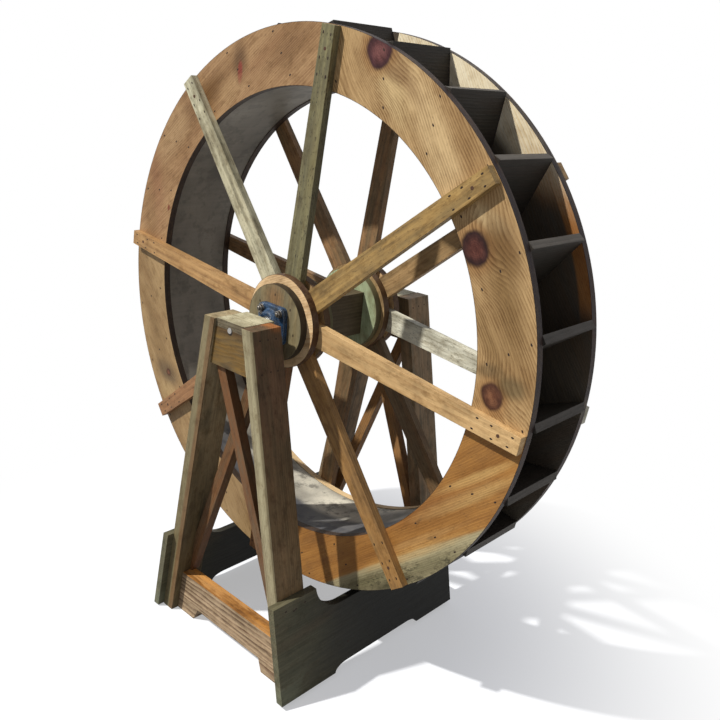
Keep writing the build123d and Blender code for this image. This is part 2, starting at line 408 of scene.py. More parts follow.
    def rim(self, edge, colour, low_colour):
        """Colour an edge at a radius, which has another colour low on the wheel; inner ones are negative."""
        lowest = self.smooth(self.split(self.flat())[2], *RIM_LOW)
        rim_colour = self.mix(lowest, colour, low_colour)
        step = RIM_SKIN if edge < 0 else -RIM_SKIN
        mask = self.smooth(self.length(self.flat()), abs(edge) + step * 2, abs(edge) + step)
        worn = self.mix(0.7, self.colour, rim_colour)
        self.lay(mask, self.mix(self.scale(self.streak, 1.2, -0.45), rim_colour, worn))

    def finished(self):
        """The material, with grain in its relief and slightly rounded edges."""
        height = self.math("ADD", self.times(self.late, 0.4), self.times(self.fibre, 0.8))
        eased = self.add("ShaderNodeBevel", {"Radius": EDGE_ROUNDING}, samples=4).outputs[0]
        return self.shader(
            Base_Color=self.colour,
            Roughness=self.scale(self.fibre, 0.25, 0.46),
            Normal=self.bump(height, 0.45, 0.001, eased),
            Specular_IOR_Level=0.2,
        )


def wood(
    name, board, light, dark, seed=0.0, spacing=0.0055, heart=(-0.09, 0.11), wave=0.05, contrast=0.45,
    cloudy=0.5, mottle=0.45, specks=0.25, weather=None, stain=None, mould=None, tints=None,
    knots=(), patches=(), faces=(), strips=(), rims=(),
):
    """Material of one board, or of several like boards with a row of tints for each."""
    tree = Wood(name, board, seed)
    tree.grow(spacing, heart, wave, knots)
    worn = 1.0
    if tints:
        pick = tree.math("DIVIDE", tree.math("ADD", board.index, 0.5), float(board.count))
        light = tree.steps(pick, [tint[0] for tint in tints])
        dark = tree.steps(pick, [tint[1] for tint in tints])
        worn = tree.steps(pick, [(tint[2], tint[2], tint[2], 1.0) for tint in tints])
    tree.colour_grain(light, dark, contrast)
    tree.lay(tree.times(tree.smooth(tree.cloud, 0.42, 0.75), cloudy), tree.tinted(tree.colour, CLOUDED))
    if stain:
        tree.lay(tree.times(tree.smooth(tree.blotch, 0.45, 0.72), stain[1]), stain[0])
    if weather:
        tree.weather(weather[0], tree.times(worn, weather[1]))
    for patch in patches:
        tree.patch(*patch)
    for face in faces:
        tree.face(*face)
    for strip in strips:
        tree.strip(*strip)
    if mould is not None:
        tree.mould(mould)
    tree.lay(tree.times(tree.smooth(tree.smudge, 0.47, 0.68), mottle), tree.tinted(tree.colour, SOILED))
    for knot in tree.knots:
        tree.knot(*knot)
    tree.lay(tree.times(tree.smooth(tree.field("fleck"), 0.6, 0.7), tree.times(worn, specks)), SPECK)
    for rim in rims:
        tree.rim(*rim)
    return tree.finished()


def paint(node, material):
    """Give a node of the model one material."""
    slots = nodes[node].data.materials
    slots.clear()
    slots.append(material)


# Pairs of a light and a dark tone, then single tones.
YELLOW = (rgb(198, 163, 113), rgb(124, 92, 52))
REDDISH = (rgb(176, 140, 98), rgb(124, 86, 56))
TAN = (rgb(174, 144, 100), rgb(120, 92, 56))
ORANGE = (rgb(170, 120, 60), rgb(108, 64, 30))
CLEAR = (rgb(222, 184, 128), rgb(172, 128, 78))
HONEY = (rgb(200, 158, 104), rgb(142, 98, 56))
# Painted sunlight: near-white tones for the rear ring's upper right board, whose inner face stands in the
# sun.
SUNLIT_TONES = (rgb(252, 238, 204), rgb(230, 202, 150))
GREEN = (rgb(220, 212, 176), rgb(156, 148, 122))
OLIVE = (rgb(132, 101, 48), rgb(74, 54, 25))
BROWN = (rgb(160, 122, 82), rgb(94, 68, 46))
GREY_BROWN = (rgb(174, 144, 108), rgb(106, 84, 60))
RED_BROWN = (rgb(118, 80, 47), rgb(66, 42, 26))
# Lighter tone of the rear braces: partly their own colour, partly painted sunlight.
REAR_BRACE_LIT_BROWN = (rgb(166, 120, 70), rgb(98, 66, 38))
PALE = (rgb(242, 237, 212), rgb(176, 170, 146))
CAP = (rgb(210, 201, 166), rgb(136, 124, 90))
BEAM = (rgb(198, 170, 134), rgb(92, 60, 38))
BUCKET = (rgb(56, 49, 42), rgb(28, 24, 21))
TIMBER = (rgb(100, 86, 64), rgb(58, 48, 34))
BASE = (rgb(126, 120, 92), rgb(70, 65, 47))
PURPLE_KNOT = (rgb(122, 76, 70), rgb(62, 32, 36))
RED_KNOT = (rgb(106, 62, 50), rgb(46, 24, 22))
ORANGE_KNOT = (rgb(132, 88, 60), rgb(76, 46, 32))
GREY_GREEN = rgb(114, 110, 86)
SAP = rgb(180, 169, 130)
SAP_DARK = rgb(88, 82, 54)
RIM_DARK = rgb(36, 26, 26)
# Inner edges of the rings: painted shade, and low on the rear ring painted light.
INNER_RIM_SHADE = rgb(50, 38, 30)
INNER_RIM_SUNLIT = rgb(218, 186, 138)
# Painted shade on the rings' inner faces, inside the buckets.
INNER_FACE_SHADE = rgb(80, 73, 62)
GREY_END = rgb(82, 76, 68)


def turned_board(angle, origin):
    """A board in the wheel's plane with its grain at an angle to the horizontal."""
    return Board(origin, direction(angle), (-math.sin(math.radians(angle)), 0, math.cos(math.radians(angle))))


# Quarter boards of a ring: angle of the middle, angle of the grain, tones, mottle, contrast, ring spacing.
QUARTERS = {
    "upper_right": (37.45, -58.0, YELLOW, 0.25, 0.6, 0.0056),
    "upper_left": (127.45, 37.45, REDDISH, 0.55, 0.3, 0.0055),
    "lower_left": (217.45, -52.55, TAN, 0.5, 0.35, 0.006),
    "lower_right": (307.45, 39.0, ORANGE, 0.2, 0.12, 0.0055),
}
# Each knot: across and up from the axle, size, tones.
RING_KNOTS = {
    "front_ring_upper_right": (
        (0.228, 0.641, 0.033, PURPLE_KNOT),
        (0.5225, 0.2735, 0.033, RED_KNOT),
        (0.603, -0.017, 0.026, ORANGE_KNOT),
    ),
    "front_ring_lower_left": ((-0.5387, -0.3004, 0.009, ORANGE_KNOT),),
    "rear_ring_upper_left": ((-0.5, 0.39, 0.02, RED_KNOT),),
    "rear_ring_lower_right": ((0.43, -0.46, 0.022, ORANGE_KNOT),),
}
# Each patch: across and up from the axle, half length, half width, turn, softness, colour, amount.
RING_PATCHES = {
    "front_ring_upper_right": (
        # The first three pale patches are lighter wood, and partly a painted sheen.
        (0.548, 0.335, 0.05, 0.02, 30, 0.5, rgb(222, 196, 146), 0.6),
        (0.40, 0.47, 0.17, 0.035, 0, 0.6, rgb(224, 194, 142), 0.6),
        (0.27, 0.565, 0.08, 0.03, 0, 0.6, rgb(218, 190, 136), 0.6),
        (0.265, 0.6, 0.04, 0.014, 30, 0.6, rgb(120, 84, 50), 0.5),
        (0.588, 0.29, 0.06, 0.03, 0, 0.8, rgb(112, 80, 42), 0.85),
        (0.61, 0.18, 0.12, 0.034, -8, 0.8, rgb(128, 98, 56), 0.75),
        (0.585, 0.09, 0.09, 0.018, 0, 0.8, rgb(126, 96, 54), 0.6),
        (0.49, 0.455, 0.10, 0.026, 0, 0.8, rgb(152, 116, 70), 0.55),
        (0.30, 0.60, 0.07, 0.016, 10, 0.8, rgb(132, 96, 58), 0.5),
        (0.645, 0.015, 0.035, 0.022, 60, 0.6, rgb(84, 76, 52), 0.6),
        (0.587, 0.035, 0.03, 0.014, 70, 0.6, rgb(74, 62, 42), 0.5),
    ),
    "front_ring_upper_left": (
        (-0.234, 0.606, 0.040, 0.026, 50, 0.7, rgb(92, 66, 42), 0.75),
        (-0.2316, 0.5817, 0.026, 0.009, 52, 0.35, rgb(138, 64, 50), 0.95),
        (-0.5387, 0.2004, 0.009, 0.005, 40, 0.3, rgb(132, 66, 46), 0.9),
        (-0.5, 0.42, 0.1, 0.04, 10, 0.7, rgb(190, 160, 116), 0.4),
        (-0.6, 0.26, 0.09, 0.03, 60, 0.7, rgb(148, 104, 72), 0.6),
        (-0.63, 0.16, 0.09, 0.03, 50, 0.7, rgb(140, 106, 68), 0.6),
        (-0.36, 0.525, 0.09, 0.026, 0, 0.8, rgb(110, 76, 38), 0.8),
        (-0.27, 0.53, 0.05, 0.03, 0, 0.8, rgb(190, 156, 110), 0.5),
        (-0.45, 0.5, 0.03, 0.06, 0, 0.9, rgb(126, 90, 56), 0.5),
        (-0.06, 0.64, 0.05, 0.03, 0, 0.9, rgb(128, 94, 60), 0.5),
        (-0.15, 0.62, 0.08, 0.016, 0, 0.8, rgb(146, 106, 70), 0.5),
    ),
    "front_ring_lower_left": (
        (-0.545, -0.30, 0.05, 0.03, 30, 0.7, rgb(92, 76, 56), 0.8),
        (-0.6, -0.2, 0.08, 0.03, -10, 0.7, rgb(128, 100, 62), 0.6),
        (-0.53, -0.37, 0.04, 0.03, 10, 0.6, rgb(196, 168, 118), 0.6),
    ),
    "front_ring_lower_right": (
        (0.455, -0.365, 0.016, 0.003, 30, 0.5, rgb(70, 46, 28), 0.6),
        (0.49, -0.396, 0.012, 0.004, 0, 0.5, rgb(60, 40, 24), 0.7),
        (0.56, -0.27, 0.14, 0.014, 0, 0.6, rgb(212, 176, 112), 0.65),
        (0.585, -0.21, 0.1, 0.01, 0, 0.6, rgb(210, 172, 108), 0.55),
        (0.46, -0.415, 0.12, 0.008, 0, 0.6, rgb(204, 160, 98), 0.5),
        (0.44, -0.46, 0.16, 0.012, 0, 0.6, rgb(200, 160, 98), 0.5),
        (0.47, -0.33, 0.2, 0.02, 0, 0.6, rgb(150, 96, 46), 0.5),
    ),
    "rear_ring_upper_right": (
        (0.62, 0.2, 0.24, 0.12, 0, 0.4, rgb(150, 98, 46), 0.97),
    ),
}
# Sapwood along the lower side of the lower right boards, in the board's own frame.
SAPWOOD = (
    (0.0, -0.13, 1.2, 0.128, 0, 0.035, SAP, 0.95),
    (-0.12, -0.035, 0.12, 0.022, 0, 0.9, SAP_DARK, 0.85),
    (0.13, -0.045, 0.12, 0.02, 0, 0.9, SAP_DARK, 0.7),
    (-0.02, -0.06, 0.07, 0.012, 0, 0.9, rgb(60, 56, 36), 0.9),
    (-0.2, -0.06, 0.08, 0.012, 0, 0.9, rgb(72, 66, 44), 0.8),
)
SAP_MOULD = -0.01


def inner_face(board, side):
    """Place of a ring board's inner face through its thickness, in the board's own frame."""
    return board.local(board.origin - Vector((0, side * RING_BOARD, 0))).z


for side_name, side in SIDES.items():
    for index, (quarter, (middle, grain, tones, mottle, contrast, spacing)) in enumerate(QUARTERS.items()):
        node = f"{side_name}_ring_{quarter}"
        board = turned_board(grain, polar(RING_MIDDLE, middle, side * HALF_WHEEL))
        knots = []
        for across, up, size, knot_tones in RING_KNOTS.get(node, ()):
            local = board.local(AXLE + Vector((across, side * HALF_WHEEL, up)))
            knots.append((local.x, local.y, size, *knot_tones))
        patches = list(SAPWOOD) if quarter == "lower_right" else []
        for across, up, *shape in RING_PATCHES.get(node, ()):
            local = board.local(AXLE + Vector((across, side * HALF_WHEEL, up)))
            patches.append((local.x, local.y, *shape))
        sunlit = node == "rear_ring_upper_right"
        # The inner face of each ring board takes painted shade; on the rear ring's upper right board the
        # parts in sunlight are left out of it.
        faces = [("z", inner_face(board, side), INNER_FACE_SHADE, 1.0, 0.15, sunlit)]
        # That board's tones are near-white as painted sunlight, and its back face keeps an ordinary wood
        # tone.
        if sunlit:
            tones = SUNLIT_TONES
            faces.append(("z", 0.0, rgb(184, 146, 96), 1.0, 0.3))
        # The rings' inner edges take painted shade, and low on the rear ring painted light where the edge
        # faces up.
        inner_low = INNER_RIM_SUNLIT if node.startswith("rear_ring_lower") else INNER_RIM_SHADE
        paint(node, wood(
            f"board_{node}", board, *tones, seed=3.1 * index + 7 * (side > 0), spacing=spacing,
            heart=(-0.2, 0.06), wave=0.07, contrast=contrast, cloudy=0.7, mottle=mottle,
            stain=(rgb(122, 88, 52), 0.35), mould=SAP_MOULD if quarter == "lower_right" else None,
            knots=knots, patches=patches, faces=faces,
            rims=((RIM, RIM_DARK, RIM_DARK), (RING_WIDTH - RIM, INNER_RIM_SHADE, inner_low)),
        ))

# Spokes, in the order in which they stand round the wheel: light tone, dark tone, how worn it is.
SPOKE_TINTS = {
    "front": (
        (*CLEAR, 0.4),
        (rgb(184, 149, 90), rgb(118, 86, 44), 0.8),
        (rgb(138, 130, 92), rgb(70, 62, 38), 1.7),
        (*GREEN, 1.2),
        (*HONEY, 0.3),
        (rgb(166, 122, 82), rgb(112, 72, 46), 0.4),
        (rgb(158, 112, 72), rgb(104, 66, 42), 0.4),
        (rgb(172, 130, 76), rgb(114, 76, 40), 0.4),
    ),
    "rear": (
        (*PALE, 1.0),
        (rgb(176, 142, 96), rgb(118, 88, 54), 0.6),
        (*BROWN, 1.0),
        (*BROWN, 1.0),
        (*BROWN, 0.8),
        (*BROWN, 0.8),
        (rgb(138, 104, 68), rgb(78, 56, 36), 0.8),
        (rgb(120, 92, 62), rgb(70, 52, 36), 0.8),
    ),
}
for side_name in SIDES:
    material = wood(
        f"spoke_wood_{side_name}", Around(SPOKE_COUNT, SPOKE_START, spoke_axes), None, None, seed=11.0,
        heart=(-0.05, 0.04), contrast=0.4, mottle=0.6, specks=0.5, weather=(rgb(100, 96, 73), 0.42),
        stain=(rgb(116, 88, 54), 0.35), tints=SPOKE_TINTS[side_name],
    )
    for set_name in ("square", "diagonal"):
        paint(f"{side_name}_spokes_{set_name}", material)

bucket_wood = wood(
    "bucket_wood", Around(BUCKET_COUNT, BUCKET_START, bucket_axes), *BUCKET, seed=5.0, contrast=0.5,
    specks=0.1, weather=(rgb(50, 49, 42), 0.5), faces=(("y", BUCKET_END, GREY_END, 0.9, 0.7),),
)
for quarter in QUARTERS:
    paint(f"buckets_{quarter}", bucket_wood)

# Discs of a hub: tones, angle of the grain, how weathered, radius, colour of the edge, a dark tone that is
# partly the sawn edge's own and partly painted shade.
DISCS = {
    "outer_small": ((rgb(150, 135, 98), rgb(94, 78, 46)), 86, 0.7, 0.096, rgb(46, 38, 27)),
    "outer_large": ((rgb(240, 206, 156), rgb(198, 154, 104)), 20, 0.1, 0.117, rgb(72, 48, 30)),
    "inner_large": (TAN, 60, 0.2, 0.117, rgb(86, 62, 40)),
    "inner_small": ((rgb(186, 198, 156), rgb(126, 138, 98)), 100, 0.3, 0.106, rgb(104, 96, 66)),
}
HUB_STAIN = (0.062, 0.008, 0.03, 0.03, 0, 0.9, rgb(150, 104, 62), 0.6)
for side_name, side in SIDES.items():
    for index, (disc, (tones, grain, weathered, radius, rim)) in enumerate(DISCS.items()):
        node = f"{side_name}_disc_{disc}"
        paint(node, wood(
            f"board_{node}", turned_board(grain, AXLE), *tones, seed=17 + index + 5 * (side > 0), mottle=0.5,
            weather=(GREY_GREEN, weathered), stain=(rgb(126, 86, 48), 0.4),
            patches=(HUB_STAIN,) if node == "front_disc_outer_small" else (), rims=((radius, rim, rim),),
        ))

timber = Board(AXLE, (0, 1, 0), (1, 0, 0))
paint("hub_timber", wood("timber_wood", timber, *TIMBER, seed=29, contrast=0.5))

# Trestle timbers: tones and the colour that they weather to.
LEG_TONES = {
    "front_leg_left": ((rgb(184, 165, 127), rgb(124, 107, 77)), rgb(130, 122, 94)),
    "front_leg_right": ((rgb(116, 88, 64), rgb(66, 48, 34)), rgb(88, 80, 58)),
    "rear_leg_left": (GREY_BROWN, rgb(98, 96, 76)),
    "rear_leg_right": (GREY_BROWN, rgb(98, 96, 76)),
}
for side_name, side in SIDES.items():
    for hand_name, hand in HANDS.items():
        node = f"{side_name}_leg_{hand_name}"
        low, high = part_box(node)
        tones, weathered = LEG_TONES[node]
        board = Board((low + high) / 2, (-hand * LEG_LEAN, 0, 1), (0, 1, 0))
        half = (high.z - low.z) / 2 * math.hypot(1, LEG_LEAN)
        front = -LEG_DEPTH / 2
        faces, patches, strips = (), (), ()
        if node == "front_leg_right":
            faces = (("y", front, rgb(170, 159, 124), 1.0, 1.0),)
            patches = (
                # Painted sunlight: an orange patch on the back of the leg's top end.
                (half, 0.028, 0.012, 0.014, 0, 0.9, rgb(184, 116, 62), 0.8),
                (-half, 0.0, 0.5, 0.12, 0, 0.7, rgb(160, 134, 92), 0.65),
            )
            strips = ((front, -0.006, -0.014, rgb(104, 90, 60), 0.75),)
        if node == "front_leg_left":
            faces = (("y", front, rgb(126, 115, 82), 0.9, 1.0),)
            patches = ((-half, 0.0, 0.5, 0.12, 0, 0.6, rgb(96, 82, 52), 0.85),)
            strips = ((front, 0.0, -0.006, rgb(124, 88, 52), 0.7),)
        paint(node, wood(
            f"board_{node}", board, *tones, seed=31 + 3 * hand + side, spacing=0.0045, heart=(-0.03, 0.05),
            cloudy=0.8, mottle=0.7, weather=(weathered, 0.5), stain=(rgb(70, 52, 34), 0.6),
            faces=faces, patches=patches, strips=strips,
        ))

# Other parts of a trestle: tones, grain, across, contrast.
STAND_PARTS = {
    "axle_block": (OLIVE, (1, 0, 0), (0, 0, 1), 0.5),
    "cap_board": (CAP, (1, 0, 0), (0, 1, 0), 0.6),
    "cross_beam": (BEAM, (1, 0, 0), (0, 0, 1), 0.8),
    "brace_down_right": (RED_BROWN, (BRACE_SLOPE, 0, -1), (1, 0, 0), 0.45),
    "brace_down_left": (RED_BROWN, (-BRACE_SLOPE, 0, -1), (1, 0, 0), 0.45),
}
# Ring spacing of the parts with coarse grain.
COARSE = {"cross_beam": 0.013, "axle_block": 0.012}
for side_name, side in SIDES.items():
    for part, (tones, grain, across, contrast) in STAND_PARTS.items():
        node = f"{side_name}_{part}"
        low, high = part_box(node)
        faces, patches = (), ()
        if part == "cross_beam":
            faces = (("y", (high.z - low.z) / 2, rgb(204, 140, 62), 0.95, 0.6),)
        if part == "cap_board":
            faces = (("y", -(high.y - low.y) / 2, rgb(92, 79, 60), 1.0, 0.8),)
        if part == "axle_block":
            # Painted shadow: a dark band along the top of the block, under the cap board.
            patches = ((0.0, (high.z - low.z) / 2, 0.3, 0.014, 0, 0.9, rgb(84, 62, 36), 0.8),)
        # The rear braces take a lighter tone than the front ones, partly as painted sunlight.
        if node.startswith("rear_brace"):
            tones = REAR_BRACE_LIT_BROWN
        paint(node, wood(
            f"board_{node}", Board((low + high) / 2, grain, across), *tones, seed=41 + side + len(part),
            spacing=COARSE.get(part, 0.0055), heart=(-0.08, 0.05), wave=0.2 if part == "axle_block" else 0.05,
            contrast=contrast, mottle=0.6, specks=0.8 if part == "cap_board" else 0.25,
            weather=(GREY_GREEN, 0.25), stain=(rgb(104, 74, 42), 0.35), faces=faces, patches=patches,
        ))

for hand_name, hand in HANDS.items():
    node = f"base_board_{hand_name}"
    low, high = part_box(node)
    half = (high.y - low.y) / 2
    board = Board((low + high) / 2, (0, 1, 0), (-hand * LEG_LEAN, 0, 1))
    paint(node, wood(
        f"board_{node}", board, *BASE, seed=53 + hand, contrast=0.3, cloudy=0.8, mottle=0.7,
        weather=(rgb(78, 80, 56), 0.6), stain=(rgb(48, 38, 27), 0.6), patches=(
            (0.3 * half, 0.0, half * 1.1, 0.3, 0, 0.4, rgb(46, 43, 33), 0.95),
            (0.62 * half, 0.0, half * 0.9, 0.3, 0, 0.5, rgb(29, 29, 25), 0.95),
            (-0.8 * half, 0.0, 0.09, 0.05, 8, 0.8, rgb(84, 82, 60), 0.5),
            (-0.72 * half, 0.03, 0.08, 0.014, 8, 0.9, rgb(84, 68, 48), 0.4),
            (-0.97 * half, -0.11, 0.06, 0.03, 30, 0.7, rgb(118, 120, 96), 0.6),
        ),
    ))

# Light and dark tone of the sheet high on the wheel and low on it; the paler low tones are painted light,
# where the sheet's bottom faces up to the sun.
SHEET_HIGH = (rgb(160, 152, 136), rgb(78, 75, 69))
SHEET_LOW_SUNLIT = (rgb(250, 240, 214), rgb(118, 114, 106))
SHEET_BLOT = rgb(64, 61, 56)
SHEET_SHADE = rgb(58, 60, 68)
SHEET_DUST = rgb(120, 108, 86)


def galvanised():
    """Dull weathered sheet with soft wide streaks across it, paler low down as painted light, and with a
    painted shadow along its front edge low down.
    """
    tree = Tree("galvanised_sheet")
    x, y, z = tree.split(tree.centred())
    angle = tree.math("ARCTAN2", z, x)
    wide = tree.noise(tree.join(tree.times(angle, 2.2), tree.times(y, 6.0), 0.0), 1.0, 3.0, 0.5)
    lines = tree.noise(tree.join(tree.times(angle, 60.0), tree.times(y, 5.0), 1.0), 1.0, 3.0, 0.6)
    blots = tree.smooth(tree.noise(tree.place, 24.0, 5.0, 0.65), 0.48, 0.62)
    dust = tree.smooth(tree.noise(tree.place, 160.0, 3.0, 0.6), 0.5, 0.75)
    # Painted light: the sheet is paler low down, where it faces up to the sun.
    low = tree.times(tree.smooth(z, -0.38, -0.5), tree.smooth(wide, 0.75, 0.35))
    tone = tree.math("ADD", tree.scale(wide, 1.5, -0.35), tree.scale(lines, 0.3, -0.15))
    light, dark = (tree.mix(low, high_tone, low_tone) for high_tone, low_tone in zip(SHEET_HIGH, SHEET_LOW_SUNLIT))
    colour = tree.mix(tone, light, dark)
    colour = tree.mix(tree.times(blots, tree.scale(low, 0.4, 0.3)), colour, SHEET_BLOT)
    # Painted shadow of the front ring on the sheet, along its front edge low down.
    front_ring_shadow = tree.times(tree.smooth(z, -0.38, -0.46), tree.smooth(y, 0.0, -0.03))
    colour = tree.mix(tree.times(front_ring_shadow, 0.85), colour, SHEET_SHADE)
    colour = tree.mix(tree.times(dust, 0.3), colour, SHEET_DUST)
    return tree.shader(
        Base_Color=colour, Metallic=0.1, Roughness=tree.scale(wide, 0.3, 0.42),
        Normal=tree.bump(lines, 0.1, 0.002), Specular_IOR_Level=0.25,
    )


SCRATCHES = (900.0, 90.0, 900.0)
SCRATCHED = (0.45, 0.42, 0.4, 1.0)
# Painted shadow at the shaft's ends: its colour, the shift of the ring's middle and the radii over which it
# darkens.
SHAFT_END_SHADOW = rgb(46, 40, 34)
SHADOW_OFFSET = (0.0024, 0.0, -0.0024)
SHADOW_RADII = (0.0072, 0.0084)


def steel(name, tone, roughness, shadowed_ends=None):
    """Drawn steel. The last argument, if given, is the distance from the middle plane where its ends begin,
    which take a dark off-centre ring as painted shadow.
    """
    tree = Tree(name)
    scratch = tree.noise(tree.vector("MULTIPLY", tree.place, SCRATCHES), 1.0, 3.0)
    colour = tree.mix(scratch, tone, tree.tinted(tone, SCRATCHED))
    if shadowed_ends:
        # Painted shadow: a dark crescent round each end, heaviest to the lower right.
        reach = tree.length(tree.vector("ADD", tree.flat(), SHADOW_OFFSET))
        ends = tree.math("ABSOLUTE", tree.split(tree.centred())[1])
        edge = tree.times(tree.smooth(reach, *SHADOW_RADII), tree.smooth(ends, shadowed_ends, shadowed_ends + 0.001))
        colour = tree.mix(edge, colour, SHAFT_END_SHADOW)
    return tree.shader(Base_Color=colour, Metallic=1.0, Roughness=tree.scale(scratch, 0.2, roughness))


def rust(name, light, dark):
    """Weathered nail heads, nearly black."""
    tree = Tree(name)
    grit = tree.noise(tree.place, 700.0, 3.0, 0.6)
    return tree.shader(
        Base_Color=tree.mix(grit, light, dark), Metallic=0.3, Roughness=tree.scale(grit, 0.3, 0.55),
        Normal=tree.bump(grit, 0.3, 0.0005), Specular_IOR_Level=0.3,
    )


RACE_RADIUS = 0.0199
RACE_EDGE = 0.0004
PAINT = (rgb(36, 68, 100), rgb(11, 20, 31))
# Pale speckle on the paint: chipped paint, and partly a painted frosty sheen.
PAINT_CHIPS_AND_SHEEN = rgb(124, 144, 160)
RACE_STEEL = rgb(176, 176, 172)


def enamel():
    """Dark blue paint over rough casting, with the bright steel race and collar inside it."""
    tree = Tree("bearing_paint")
    race = tree.smooth(tree.length(tree.flat()), RACE_RADIUS + RACE_EDGE, RACE_RADIUS - RACE_EDGE)
    grit = tree.noise(tree.place, 420.0, 3.0, 0.6)
    cloud = tree.noise(tree.place, 38.0, 4.0, 0.65)
    colour = tree.mix(tree.smooth(cloud, 0.35, 0.65), *PAINT)
    # Pale speckle: chipped paint, and partly a painted sheen.
    colour = tree.mix(tree.times(tree.smooth(grit, 0.52, 0.66), 0.4), colour, PAINT_CHIPS_AND_SHEEN)
    return tree.shader(
        Base_Color=tree.mix(race, colour, RACE_STEEL), Metallic=race, Roughness=tree.scale(grit, 0.25, 0.24),
        Normal=tree.bump(grit, 0.4, 0.0008),
    )


bolt_steel = steel("bolt_steel", rgb(142, 138, 132), 0.3)
nail_rust = rust("nail_rust", rgb(62, 46, 36), rgb(26, 19, 15))
screw_rust = rust("screw_rust", rgb(104, 72, 52), rgb(48, 34, 26))
blue = enamel()
paint("sole", galvanised())
paint("shaft", steel("shaft_steel", rgb(196, 194, 190), 0.22, 0.3))
for side_name in SIDES:
    paint(f"{side_name}_bearing", blue)


def piece(name, mesh, body, material):
    """Make an object from finished mesh data and let it ride on a body."""
    data = bpy.data.meshes.new(name)
    mesh.to_mesh(data)
    mesh.free()
    data.materials.append(material)
    made = bpy.data.objects.new(name, data)
    bpy.context.scene.collection.objects.link(made)
    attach(made, body)
    return made


def skin(mesh, rings, capped=True):
    """Join rings of points into a closed skin, with a cap at each end or back to the first ring."""
    count = len(rings[0])
    for lower, upper in zip(rings, rings[1:] if capped else rings[1:] + rings[:1]):
        for step in range(count):
            after = (step + 1) % count
            mesh.faces.new((lower[step], lower[after], upper[after], upper[step]))
    if capped:
        mesh.faces.new(list(reversed(rings[0])))
        mesh.faces.new(rings[-1])


def turned(mesh, centre, normal, profile, sides=12, spin=0.0):
    """Add a closed turned or prismatic shape from (radius, height) pairs."""
    normal = Vector(normal).normalized()
    flat = normal.orthogonal().normalized()
    third = normal.cross(flat)
    rings = []
    for radius, height in profile:
        ring = []
        for step in range(sides):
            turn = math.tau * step / sides + spin
            offset = flat * math.cos(turn) * radius + third * math.sin(turn) * radius
            ring.append(mesh.verts.new(Vector(centre) + offset + normal * height))
        rings.append(ring)
    skin(mesh, rings)


# A nail's or screw's head: share of its size, height over the wood.
HEAD = ((1.0, -0.002), (1.0, 0.0001), (0.8, 0.0003))


def oval(mesh, centre, normal, along, long, wide, sides=10):
    """Add a small domed oval head, sunk a little in the wood, from its half length and half width."""
    normal, along = Vector(normal).normalized(), Vector(along).normalized()
    third = normal.cross(along)
    rings = []
    for share, height in HEAD:
        ring = []
        for step in range(sides):
            turn = math.tau * step / sides
            offset = along * (math.cos(turn) * long * share) + third * (math.sin(turn) * wide * share)
            ring.append(mesh.verts.new(Vector(centre) + offset + normal * height))
        rings.append(ring)
    skin(mesh, rings)


# Nails through the rings into the buckets: radius and angle of each of a bucket's three.
NAIL_LONG = 0.0037
NAIL_WIDE = 0.0021
BUCKET_NAILS = ((0.687, 9.5), (0.635, 7.3), (0.584, 4.6))
GRAINS = [row[1] for row in QUARTERS.values()]
for side_name, side in SIDES.items():
    face = side * HALF_WHEEL
    nails = bmesh.new()
    for step in range(BUCKET_COUNT):
        for radius, offset in BUCKET_NAILS:
            angle = offset + step * 360 / BUCKET_COUNT
            grain = GRAINS[int((angle - SPOKE_START) % 360 // 90)]
            oval(nails, polar(radius, angle, face), (0, side, 0), direction(grain), NAIL_LONG, NAIL_WIDE)
    piece(f"{side_name}_ring_nails", nails, "wheel", nail_rust)

# Nails and one screw through the end of each spoke: radius and distance from the spoke's middle.
SPOKE_NAILS = ((0.588, 0.014), (0.63, 0.0135), (0.677, 0.012))
NAIL_SCATTER = 0.004
SPOKE_SCREW = 0.647
SCREW_RADIUS = 0.0042
for side_name, side in SIDES.items():
    face = side * (HALF_WHEEL + SPOKE_DEPTH)
    nails, screws = bmesh.new(), bmesh.new()
    for step in range(SPOKE_COUNT):
        angle = SPOKE_START + step * 360 / SPOKE_COUNT
        along, across = direction(angle), direction(angle + 90)
        for index, (radius, spread) in enumerate(SPOKE_NAILS):
            for hand in (-1, 1):
                shift = NAIL_SCATTER * math.sin(7 * step + 3 * index + hand)
                centre = polar(radius + shift, angle, face) + across * hand * spread
                oval(nails, centre, (0, side, 0), along, NAIL_LONG, NAIL_WIDE)
        oval(screws, polar(SPOKE_SCREW, angle, face), (0, side, 0), along, SCREW_RADIUS, SCREW_RADIUS, 14)
    piece(f"{side_name}_spoke_nails", nails, "wheel", nail_rust)
    piece(f"{side_name}_spoke_screws", screws, "wheel", screw_rust)

# Nails through the hub's outer discs.
HUB_NAIL_REACH = 0.071
HUB_NAIL_START = 39.0
HUB_NAIL_COUNT = 7
hub_face = AXLE.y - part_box("front_disc_outer_small")[0].y
for side_name, side in SIDES.items():
    nails = bmesh.new()
    for step in range(HUB_NAIL_COUNT):
        spot = polar(HUB_NAIL_REACH, HUB_NAIL_START - step * 360 / HUB_NAIL_COUNT, side * hub_face)
        oval(nails, spot, (0, side, 0), (0, 0, 1), NAIL_LONG, NAIL_WIDE)
    piece(f"{side_name}_hub_nails", nails, "wheel", nail_rust)

